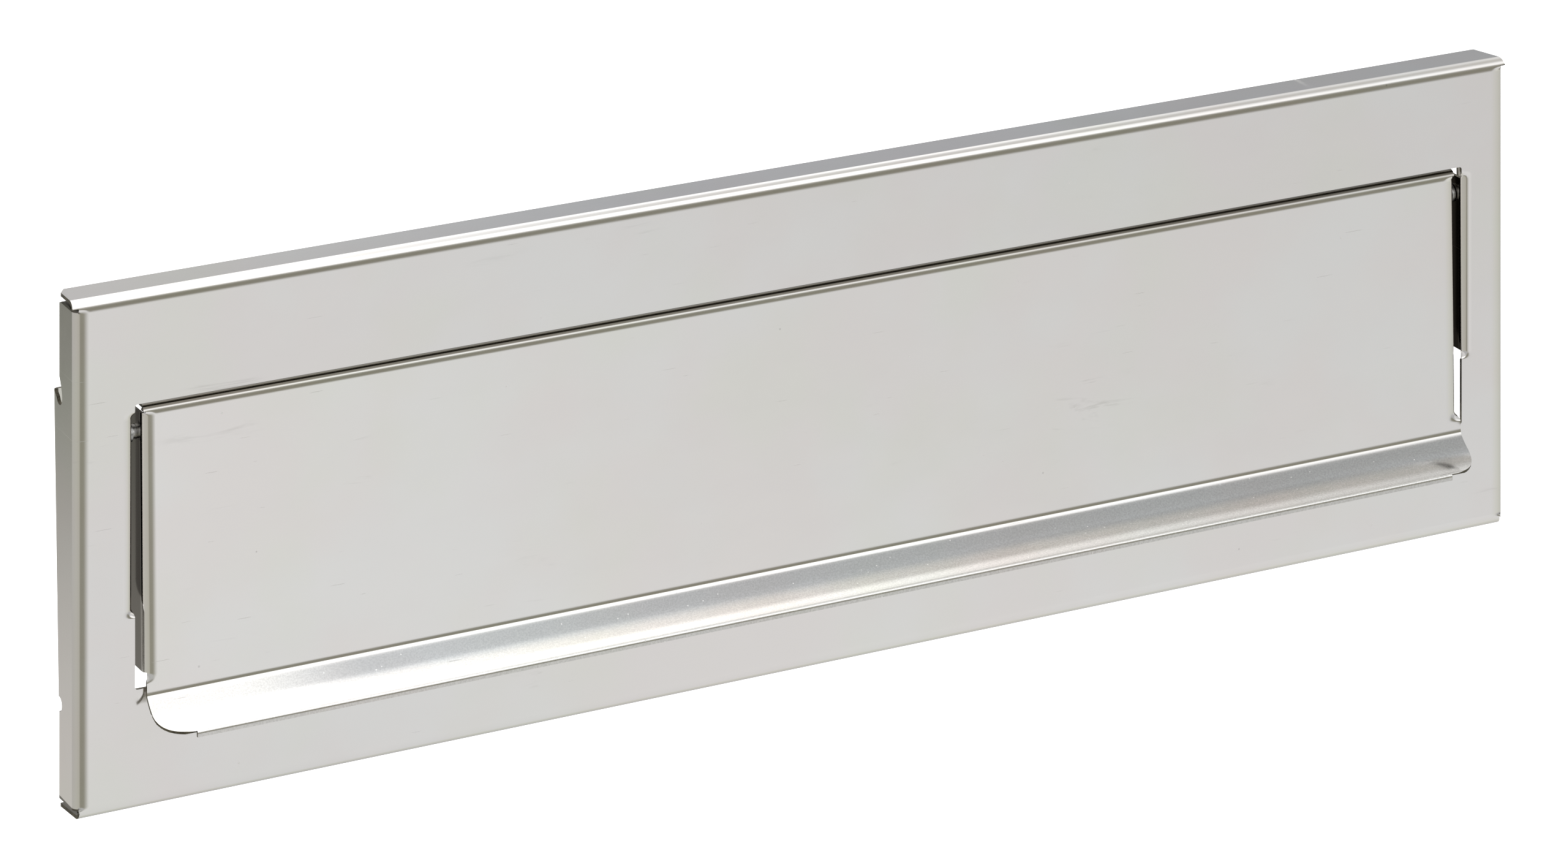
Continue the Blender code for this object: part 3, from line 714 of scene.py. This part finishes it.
class Graph:
    """Adds nodes to a node tree and joins them."""

    def __init__(self, tree):
        self.tree = tree

    def node(self, kind, links=None, **settings):
        made = self.tree.nodes.new(kind)
        for name, value in settings.items():
            setattr(made, name, value)
        for key, value in (links or {}).items():
            self.feed(made.inputs[key], value)
        return made

    def feed(self, socket, value):
        if isinstance(value, bpy.types.NodeSocket):
            self.tree.links.new(value, socket)
        elif isinstance(value, bpy.types.Node):
            self.tree.links.new(value.outputs[0], socket)
        else:
            socket.default_value = value

    def math(self, operation, *values, clamp=False):
        made = self.node("ShaderNodeMath", dict(enumerate(values)), operation=operation, use_clamp=clamp)
        return made.outputs[0]

    def times(self, first, *others, clamp=False):
        for other in others:
            first = self.math("MULTIPLY", first, other, clamp=clamp)
        return first

    def magnitude(self, value):
        return self.math("ABSOLUTE", value)

    def grey(self, value):
        return self.node("ShaderNodeCombineColor", {0: value, 1: value, 2: value}).outputs[0]

    def split(self, place):
        return self.node("ShaderNodeSeparateXYZ", {0: place}).outputs

    def mix(self, factor, first, second, blend="MIX"):
        made = self.node("ShaderNodeMix", data_type="RGBA", blend_type=blend)
        self.feed(made.inputs[0], factor)
        self.feed(made.inputs[6], first)
        self.feed(made.inputs[7], second)
        return made.outputs[2]

    def blend(self, factor, first, second):
        made = self.node("ShaderNodeMix", data_type="FLOAT")
        self.feed(made.inputs[0], factor)
        self.feed(made.inputs[2], first)
        self.feed(made.inputs[3], second)
        return made.outputs[0]

    def ramp(self, value, stops, smooth=False):
        made = self.node("ShaderNodeValToRGB", {0: value})
        made.color_ramp.interpolation = "EASE" if smooth else "LINEAR"
        elements = made.color_ramp.elements
        while len(elements) < len(stops):
            elements.new(0.5)
        for element, (position, colour) in zip(elements, stops):
            element.position = position
            element.color = (*colour, 1) if isinstance(colour, tuple) else (colour, colour, colour, 1)
        return made.outputs[0]

    def between(self, value, low, high):
        """0 below low, 1 above high, smooth between. High may be below low."""
        made = self.node("ShaderNodeMapRange", {0: value, 1: low, 2: high}, interpolation_type="SMOOTHSTEP")
        if high < low:
            made.inputs[1].default_value = high
            made.inputs[2].default_value = low
            made.inputs[3].default_value = 1.0
            made.inputs[4].default_value = 0.0
        return made.outputs[0]

    def past(self, value, limits):
        """The same for a position, with its limits in millimetres."""
        return self.between(value, limits[0] * MM, limits[1] * MM)

    def noise(self, place, scale, detail=2.0, roughness=0.5, distortion=0.0):
        links = {"Vector": place, "Scale": scale, "Detail": detail, "Roughness": roughness}
        made = self.node("ShaderNodeTexNoise", links, noise_dimensions="3D")
        made.inputs["Distortion"].default_value = distortion
        return made.outputs[0]

    def mapped(self, place, scale=(1, 1, 1), turn=(0, 0, 0), move=(0, 0, 0)):
        links = {0: place, "Location": move, "Rotation": turn, "Scale": scale}
        return self.node("ShaderNodeMapping", links).outputs[0]


def scratches(graph, place, angle, length, spacing, share, seed):
    """Fine straight lines in one direction over the sheet's face: 1 in a scratch and 0 outside."""
    stretched = graph.mapped(place, (1 / length, 1, 1 / spacing), (0, angle, 0), (seed, seed, seed))
    lines = graph.noise(stretched, 1.0, 1.0, 0.3)
    patches = graph.noise(graph.mapped(place, (1, 1, 1), (0, 0, 0), (seed * 3.1, 0, seed)), 38.0, 1.0)
    marks = graph.between(lines, share, share + 0.035)
    return graph.times(marks, graph.between(patches, 0.44, 0.62))


def specks(graph, place, scale, size, share, seed):
    """Small round specks: 1 inside a speck and 0 outside. share is how many cells hold one."""
    cells = graph.node(
        "ShaderNodeTexVoronoi",
        {"Vector": graph.mapped(place, (1, 1, 1), (0, 0, 0), (seed, seed * 2, seed * 3)), "Scale": scale},
    )
    inside = graph.between(cells.outputs["Distance"], size * 1.3, size * 0.7)
    colour = graph.node("ShaderNodeSeparateColor", {0: cells.outputs["Color"]})
    chosen = graph.math("LESS_THAN", colour.outputs[0], share)
    return graph.times(inside, chosen)


def facing(graph, direction, sign=1.0):
    """1 where the surface faces a direction in the piece's own frame, 0 where it faces away."""
    normal = graph.node("ShaderNodeTexCoord").outputs["Normal"]
    towards = graph.node("ShaderNodeVectorMath", {0: normal, 1: direction}, operation="DOT_PRODUCT")
    return graph.between(graph.times(towards.outputs["Value"], sign), *FACING)


def shaded_faces_of_plate(graph, place):
    """1 on the plate's ears, at its cut corners behind the face and in their slits, where shade is painted."""
    x, y, z = graph.split(place)
    height = graph.magnitude(z)
    from_opening = graph.magnitude(graph.math("SUBTRACT", x, OPENING_X * MM))
    ends = graph.math("LESS_THAN", from_opening, EAR_MASK_REACH * MM)
    level = graph.math("LESS_THAN", height, EAR_MASK_HEIGHT * MM)
    ears = graph.times(ends, level, graph.past(y, EAR_MASK_DEPTH))
    inward = facing(graph, (0, 0, -1), graph.math("SIGN", z))
    corners = graph.times(inward, graph.past(y, CORNER_MASK_DEPTH))
    corners = graph.times(corners, graph.past(graph.magnitude(x), CORNER_MASK_OUT))
    slits = graph.times(graph.past(height, SLIT_MASK_BOTTOM), graph.past(height, SLIT_MASK_TOP))
    slits = graph.times(slits, graph.past(graph.magnitude(x), SLIT_MASK_OUT))
    return graph.math("MAXIMUM", graph.math("MAXIMUM", ears, corners), slits)


def shaded_faces_of_flap(graph, place):
    """1 on the flap's top bend and return and on its side flanges, where the plate's edges cast a painted
    shade.

    It is less than 1 under the crease, where the lip turns away, so the painted shade there is lighter.
    """
    x, y, z = graph.split(place)
    top = graph.past(z, TOP_MASK)
    flanges = graph.times(graph.past(graph.magnitude(x), FLANGE_MASK_OUT), graph.past(z, FLANGE_MASK_ABOVE))
    flanges = graph.times(flanges, graph.past(y, FLANGE_MASK_DEPTH))
    under = graph.times(facing(graph, (0, 0.8, -0.6)), graph.past(z, UNDER_MASK_BELOW), UNDER_MASK_SHARE)
    return graph.math("MAXIMUM", graph.math("MAXIMUM", top, flanges), under)


def hollow_of_lip(graph, place):
    """1 below the flap's crease, where forming has left the polish coarse."""
    return graph.past(graph.split(place)[2], HOLLOW_MASK_BELOW)


def steep_part_of_hollow(graph, place):
    """1 in the upper, steeper half of the lip's hollow, away from its left end, for a bluish painted
    reflection.
    """
    outputs = graph.split(place)
    return graph.times(graph.past(outputs[2], STEEP_MASK_ABOVE), graph.past(outputs[0], STEEP_MASK_FROM))


def steel(name, base, roughness, shaded, coarse=None):
    """Polished stainless sheet: rolling haze, handling marks, fine scratches, pits and dust.

    shaded makes a mask of the steel that takes painted shade, and coarse one of the roughly polished part,
    which also carries painted glints and, in its steeper half, a painted reflection band.
    """
    material = bpy.data.materials.new(name)
    material.use_nodes = True
    graph = Graph(material.node_tree)
    shader = material.node_tree.nodes["Principled BSDF"]
    place = graph.node("ShaderNodeTexCoord").outputs["Object"]

    pink = graph.between(graph.noise(place, 17.0, 3.0, 0.6), 0.38, 0.60)
    green = graph.between(graph.noise(graph.mapped(place, move=(4, 7, 2)), 21.0, 3.0, 0.6), 0.46, 0.68)
    pinkish = (base[0], base[1] * 0.97, base[2] * 0.965, 1)
    greenish = (base[0] * 0.97, base[1] * 0.99, base[2] * 0.93, 1)
    colour = graph.mix(graph.times(pink, 0.9), base, pinkish)
    colour = graph.mix(graph.times(green, 0.5), colour, greenish)

    haze = graph.noise(graph.mapped(place, (1, 1, 2.2)), 60.0, 5.0, 0.62)
    smear_place = graph.mapped(place, (0.9, 1, 6.0), (0, 0.35, 0))
    smears = graph.between(graph.noise(smear_place, 42.0, 4.0, 0.7, 0.6), 0.60, 0.74)
    smear_spots = graph.between(graph.noise(graph.mapped(place, move=(9, 1, 5)), 24.0, 1.0), 0.54, 0.66)
    smears = graph.times(smears, smear_spots)

    fine = 0.0
    for lines in SCRATCHES:
        fine = graph.math("MAXIMUM", fine, scratches(graph, place, *lines))

    pits = specks(graph, place, 150.0, 0.035, 0.10, 5.0)
    bright = specks(graph, place, 210.0, 0.05, 0.10, 8.0)

    value = graph.times(graph.blend(haze, 0.975, 1.02), graph.blend(smears, 1.0, 0.93))
    value = graph.times(value, graph.blend(fine, 1.0, 0.955), graph.blend(pits, 1.0, 0.8))
    colour = graph.mix(1.0, colour, graph.grey(value), "MULTIPLY")
    colour = graph.mix(graph.times(bright, 0.65), colour, (0.95, 0.95, 0.94, 1))
    # Painted shade: the colour is darkened where the shaded mask is 1
    colour = graph.mix(shaded(graph, place), colour, graph.mix(1.0, colour, SHADED_TINT, "MULTIPLY"))
    if coarse:
        grain = coarse(graph, place)
        sand = graph.between(graph.noise(place, 2600.0, 2.0, 0.7), 0.35, 0.65)
        tone = graph.grey(graph.blend(graph.times(grain, sand), 1.0, 0.87))
        colour = graph.mix(1.0, colour, tone, "MULTIPLY")
        # Painted reflection: a darker, bluish band over the steeper part of the hollow
        steep = graph.times(grain, steep_part_of_hollow(graph, place))
        colour = graph.mix(steep, colour, graph.mix(1.0, colour, STEEP_TINT, "MULTIPLY"))
        # Painted glints: small near-white highlights in the hollow
        glints = graph.times(specks(graph, place, 760.0, 0.12, 0.16, 31.0), grain)
        colour = graph.mix(graph.times(glints, 0.6), colour, (0.98, 0.98, 0.97, 1))
    graph.feed(shader.inputs["Base Color"], colour)

    dull = graph.blend(haze, roughness - 0.03, roughness + 0.03)
    if coarse:
        dull = graph.math("ADD", dull, graph.times(grain, 0.07))
    dull = graph.math("ADD", dull, graph.times(smears, 0.10))
    dull = graph.math("ADD", dull, graph.times(fine, 0.22))
    dull = graph.math("ADD", dull, graph.times(bright, 0.4), clamp=True)
    graph.feed(shader.inputs["Roughness"], dull)
    shader.inputs["Metallic"].default_value = 1.0

    swell = graph.noise(graph.mapped(place, (1, 1, 1.6)), 26.0, 1.0)
    grooves = graph.noise(graph.mapped(place, (0.4, 1, 1.0)), 900.0, 2.0)
    height = graph.math("ADD", graph.times(swell, 0.02), graph.times(grooves, 0.0012))
    height = graph.math("SUBTRACT", height, graph.times(fine, 0.0016))
    bump = graph.node("ShaderNodeBump", {"Height": height, "Strength": 0.35, "Distance": 0.001})
    graph.feed(shader.inputs["Normal"], bump)
    material.diffuse_color = (*base[:3], 1)
    material.metallic = 1.0
    material.roughness = roughness
    return material


def dull_steel(name, base, roughness, grain=900.0, bump_height=0.02):
    """Steel left as it was cut, stamped or turned: duller and darker, with a fine grain."""
    material = bpy.data.materials.new(name)
    material.use_nodes = True
    graph = Graph(material.node_tree)
    shader = material.node_tree.nodes["Principled BSDF"]
    place = graph.node("ShaderNodeTexCoord").outputs["Object"]
    mottle = graph.noise(place, grain, 4.0, 0.6)
    broad = graph.noise(graph.mapped(place, move=(2, 5, 1)), 170.0, 2.0)
    dark = tuple(part * 0.55 for part in base)
    light = tuple(min(part * 1.5, 1.0) for part in base)
    share = graph.times(graph.between(mottle, 0.3, 0.7), graph.blend(broad, 0.6, 1.4), clamp=True)
    graph.feed(shader.inputs["Base Color"], graph.mix(share, (*dark, 1), (*light, 1)))
    graph.feed(shader.inputs["Roughness"], graph.blend(mottle, roughness - 0.1, roughness + 0.12))
    shader.inputs["Metallic"].default_value = 1.0
    height = graph.times(mottle, bump_height)
    bump = graph.node("ShaderNodeBump", {"Height": height, "Strength": 0.6, "Distance": 0.001})
    graph.feed(shader.inputs["Normal"], bump)
    material.diffuse_color = (*base, 1)
    material.metallic = 1.0
    material.roughness = roughness
    return material


# Pieces


def finish_sheet(item, thickness, edge_finish):
    """Gives a sheet thickness, its edge finish, and normals that keep the flats flat and the edges sharp."""
    item.data.materials.append(edge_finish)
    thicken(item, thickness)
    item.modifiers["sheet_thickness"].material_offset_rim = 1
    solid = bpy.data.meshes.new_from_object(item.evaluated_get(bpy.context.evaluated_depsgraph_get()))
    item.modifiers.clear()
    item.data = solid
    solid.name = item.name
    solid.set_sharp_from_angle(angle=SHARP_ANGLE)
    weighted = item.modifiers.new("flat_faces", "WEIGHTED_NORMAL")
    weighted.mode = "FACE_AREA"
    weighted.weight = 50
    weighted.keep_sharp = True
    return item


def piece(item, body, node):
    """Makes an object a piece that rides a body and stands for a CAD node, which it hides."""
    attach(item, body)
    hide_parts(node)


def build_pieces():
    plate_colour = (0.705, 0.70, 0.688, 1)
    flap_colour = (0.74, 0.735, 0.72, 1)
    plate_finish = steel("faceplate_polished_steel", plate_colour, 0.12, shaded_faces_of_plate)
    flap_finish = steel("flap_polished_steel", flap_colour, 0.11, shaded_faces_of_flap, hollow_of_lip)
    edge_finish = dull_steel("cut_sheet_edge", (0.11, 0.10, 0.075), 0.5)
    pin_finish = dull_steel("turned_pin_steel", (0.50, 0.50, 0.49), 0.30, 500.0, 0.01)
    spacer_finish = dull_steel("spacer_steel_finish", (0.42, 0.42, 0.41), 0.36, 500.0, 0.01)
    washer_finish = dull_steel("blued_spring_steel", (0.22, 0.22, 0.235), 0.38, 700.0, 0.01)

    folded = sheet_mesh("faceplate_sheet", plate_loops(), plate_lines(), fold_plate)
    plate = finish_sheet(add_object("faceplate_sheet", folded, plate_finish), PLATE_SHEET, edge_finish)
    piece(plate, "plate", "faceplate")

    folded = sheet_mesh("flap_sheet", flap_loops(), flap_lines(), fold_flap)
    flap = finish_sheet(add_object("flap_sheet", folded, flap_finish), FLAP_SHEET, edge_finish)
    on_pivot(flap).rotation_euler = (-FLAP_TILT, 0, 0)
    piece(flap, "flap", "flap")

    for label, side in (("left", -1), ("right", 1)):
        pin = make_pin("pin_" + label, side, pin_finish)
        piece(pin, "plate", "pivot_pin_" + label)
        spacer = make_spacer("spacer_" + label, side, spacer_finish)
        piece(spacer, "plate", "spacer_washer_" + label)
        washer = make_washer("push_on_washer_" + label, side, washer_finish)
        piece(washer, "plate", "retaining_washer_" + label)


# Studio

SENSOR = 36.0
LENS = 151.54172
CAMERA_PLACE = (-0.68330, -1.31141, 0.54694)
CAMERA_YAW = math.radians(27.131)
LENS_SHIFT = -1.5632
SECOND_BOUNCE_GAIN = 1.7
FLOOR_RADIUS = 9.0
FLOOR_HEIGHT = -0.42
FLOOR_SIDES = 64


def degrees_ramp(pairs):
    """Ramp stops from (angle in degrees, colour) with the angle from -180 to 180."""
    return [(0.5 + angle / 360, colour) for angle, colour in pairs]


def make_world():
    """White to the camera. To the steel, a bright table and overhead light with a dark gap between them.

    The light from above, upper, differs from left to right as the plate mirrors it in the picture. It gives
    way to room_over, a plainer room, in the directions that only other views and poses mirror.
    """
    world = bpy.data.worlds.new("studio")
    bpy.context.scene.world = world
    world.use_nodes = True
    graph = Graph(world.node_tree)
    background = world.node_tree.nodes["Background"]
    x, y, z = graph.split(graph.node("ShaderNodeTexCoord").outputs["Generated"])
    front = graph.times(y, -1.0)

    turn_over = graph.math("ARCTAN2", z, front)
    over = graph.math("ADD", graph.math("DIVIDE", turn_over, 2 * math.pi), 0.5)
    turn_round = graph.math("ARCTAN2", x, front)
    around = graph.math("ADD", graph.math("DIVIDE", turn_round, 2 * math.pi), 0.5)

    dark = (0.30, 0.29, 0.235)
    left_over = graph.ramp(over, degrees_ramp([
        (-60, 0.92),
        (-18, 0.95),
        (-11, dark),
        (1, dark),
        (9, 1.9),
        (150, 1.8),
        (154, 0.66),
        (180, 0.66),
    ]))
    right_over = graph.ramp(over, degrees_ramp([
        (-60, 0.84),
        (-18, 0.86),
        (-11, dark),
        (1, dark),
        (9, 1.8),
        (49, 1.7),
        (58, (0.82, 0.81, 0.79)),
        (82, (0.86, 0.85, 0.83)),
        (104, (1.15, 1.15, 1.15)),
        (113, 1.6),
        (149, 1.5),
        (153, (0.50, 0.51, 0.535)),
        (180, (0.50, 0.51, 0.535)),
    ]))
    far_right_over = graph.ramp(over, degrees_ramp([
        (-60, 0.74),
        (-18, 0.76),
        (-11, dark),
        (1, dark),
        (9, 1.35),
        (30, 1.3),
        (44, 0.95),
        (58, (0.72, 0.71, 0.68)),
        (82, (0.75, 0.74, 0.71)),
        (104, (0.95, 0.95, 0.94)),
        (113, 1.0),
        (147, 0.80),
        (153, (0.45, 0.46, 0.475)),
        (180, (0.45, 0.46, 0.475)),
    ]))
    upper = graph.mix(graph.between(x, 0.345, 0.42), left_over, right_over)
    upper = graph.mix(graph.between(x, 0.44, 0.50), upper, far_right_over)
    room_over = graph.ramp(over, degrees_ramp([
        (-60, 0.80),
        (-11, 0.58),
        (1, 0.56),
        (25, 0.95),
        (60, 0.72),
        (110, 0.78),
        (150, 0.92),
        (180, 0.55),
    ]))
    upper = graph.mix(graph.between(x, 0.20, 0.30), room_over, upper)
    upper = graph.mix(graph.between(x, 0.62, 0.74), upper, room_over)

    olive = (0.35, 0.34, 0.28)
    left_wall = graph.mix(graph.between(z, -0.325, -0.39), (0.245, 0.25, 0.215, 1), (0.70, 0.68, 0.65, 1))
    lower = graph.ramp(around, degrees_ramp([
        (-180, 0.5),
        (-130, (0.60, 0.59, 0.56)),
        (-60, (0.62, 0.61, 0.56)),
        (-14, (0.58, 0.565, 0.50)),
        (-5, olive),
        (4, olive),
        (16, 0.95),
        (36, 0.86),
        (46, (0.83, 0.83, 0.79)),
        (62, (0.74, 0.745, 0.68)),
        (150, 0.6),
    ]))
    fall = graph.blend(graph.between(z, -0.31, -0.38), 0.955, 1.08)
    fall = graph.blend(graph.between(x, 0.35, 0.44), 1.0, fall)
    lower = graph.mix(1.0, lower, graph.grey(fall), "MULTIPLY")
    lower = graph.mix(graph.between(around, 0.5 - 130 / 360, 0.5 - 145 / 360), lower, left_wall)

    light = graph.mix(graph.between(z, -0.28, -0.22), lower, upper)
    path = graph.node("ShaderNodeLightPath")
    graph.feed(background.inputs[0], graph.mix(path.outputs["Is Camera Ray"], light, (1, 1, 1, 1)))

    # Light that reaches the picture from one steel face by way of another has a ray depth of 3 here
    second_bounce = graph.between(path.outputs["Ray Depth"], 2.4, 2.6)
    gain = graph.blend(graph.between(x, 0.38, 0.46), SECOND_BOUNCE_GAIN, 1.0)
    graph.feed(background.inputs[1], graph.blend(second_bounce, 1.0, gain))


def make_floor():
    """A pale floor well below the plate. The steel sees the studio's own light from below instead."""
    mesh = bmesh.new()
    rim = circle((0, 0), FLOOR_RADIUS, FLOOR_SIDES)
    mesh.faces.new([mesh.verts.new((x, y, FLOOR_HEIGHT)) for x, y in rim])
    data = bpy.data.meshes.new("floor")
    mesh.to_mesh(data)
    mesh.free()
    material = bpy.data.materials.new("pale_floor")
    material.use_nodes = True
    shader = material.node_tree.nodes["Principled BSDF"]
    shader.inputs["Base Color"].default_value = (0.9, 0.9, 0.9, 1)
    shader.inputs["Roughness"].default_value = 0.9
    shader.inputs["Emission Color"].default_value = (1, 1, 1, 1)
    shader.inputs["Emission Strength"].default_value = 0.9
    data.materials.append(material)
    floor = bpy.data.objects.new("floor", data)
    bpy.context.collection.objects.link(floor)
    floor.visible_glossy = False


def make_camera():
    """A level camera whose lens is lowered in its mount, so that uprights stay upright in the picture.

    The lens is lowered only while the camera stands at this place. Moved elsewhere it looks straight ahead.
    """
    data = bpy.data.cameras.new("camera")
    data.sensor_width = SENSOR
    data.lens = LENS
    data.clip_start = 0.05
    data.clip_end = 100.0
    camera = bpy.data.objects.new("camera", data)
    stand = bpy.data.objects.new("camera_stand", None)
    for item in (camera, stand):
        bpy.context.collection.objects.link(item)
        item.location = CAMERA_PLACE
    camera.rotation_euler = (QUARTER, 0, -CAMERA_YAW)
    bpy.context.scene.camera = camera
    curve = data.driver_add("shift_y")
    curve.driver.type = "AVERAGE"
    moved = curve.driver.variables.new()
    moved.name = "moved"
    moved.type = "LOC_DIFF"
    moved.targets[0].id = camera
    moved.targets[1].id = stand
    for modifier in list(curve.modifiers):
        curve.modifiers.remove(modifier)
    for distance, shift in ((0.0, LENS_SHIFT), (0.1, LENS_SHIFT), (0.2, 0.0)):
        curve.keyframe_points.insert(distance, shift).interpolation = "LINEAR"


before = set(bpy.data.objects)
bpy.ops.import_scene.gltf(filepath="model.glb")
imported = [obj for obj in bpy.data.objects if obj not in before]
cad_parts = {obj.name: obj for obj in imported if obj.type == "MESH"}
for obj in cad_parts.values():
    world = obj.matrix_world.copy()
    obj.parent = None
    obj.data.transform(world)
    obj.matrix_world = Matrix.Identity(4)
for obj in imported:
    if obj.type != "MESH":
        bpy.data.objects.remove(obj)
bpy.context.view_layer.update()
build_pieces()
make_world()
make_floor()
make_camera()
bpy.context.scene.view_settings.view_transform = "Standard"
